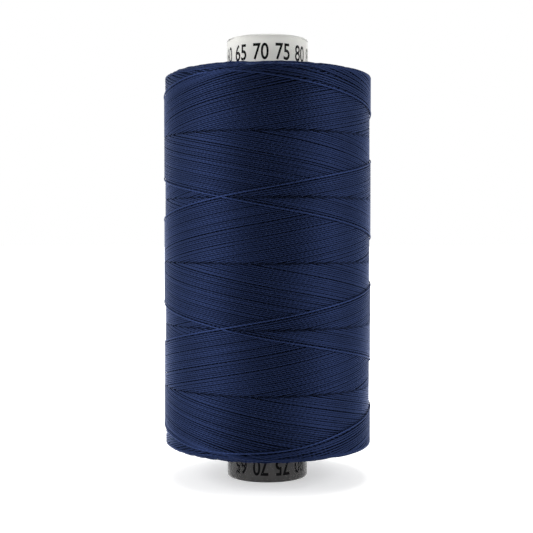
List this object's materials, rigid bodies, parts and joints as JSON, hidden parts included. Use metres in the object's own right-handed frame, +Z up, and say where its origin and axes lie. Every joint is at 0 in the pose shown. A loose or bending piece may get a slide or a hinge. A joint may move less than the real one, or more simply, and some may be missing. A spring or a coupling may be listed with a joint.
{
  "type": "spool of sewing thread",
  "caption": "Sewing thread cross-wound on a straight clear plastic tube, with a card label ring in each open end and a bore for a machine's spool pin.",
  "frame": {"origin": "centre of the tube's foot, on the surface that the spool stands on", "axes": "+Z up the tube's axis, -Y towards the front that the picture shows"},
  "size_m": [0.032, 0.032, 0.0684],
  "materials": {
    "clear_plastic": "clear, polished by the mould",
    "white_card": "matt off-white card with black print",
    "grey_card": "matt dark grey card with darker print",
    "navy_thread": "soft sheen of twisted cotton"
  },
  "bodies": {
    "root": {"spool_tube": "clear_plastic", "top_label": "white_card", "bottom_label": "grey_card", "wound_thread": "navy_thread", "outer_turns": "navy_thread"}
  },
  "joints": []
}
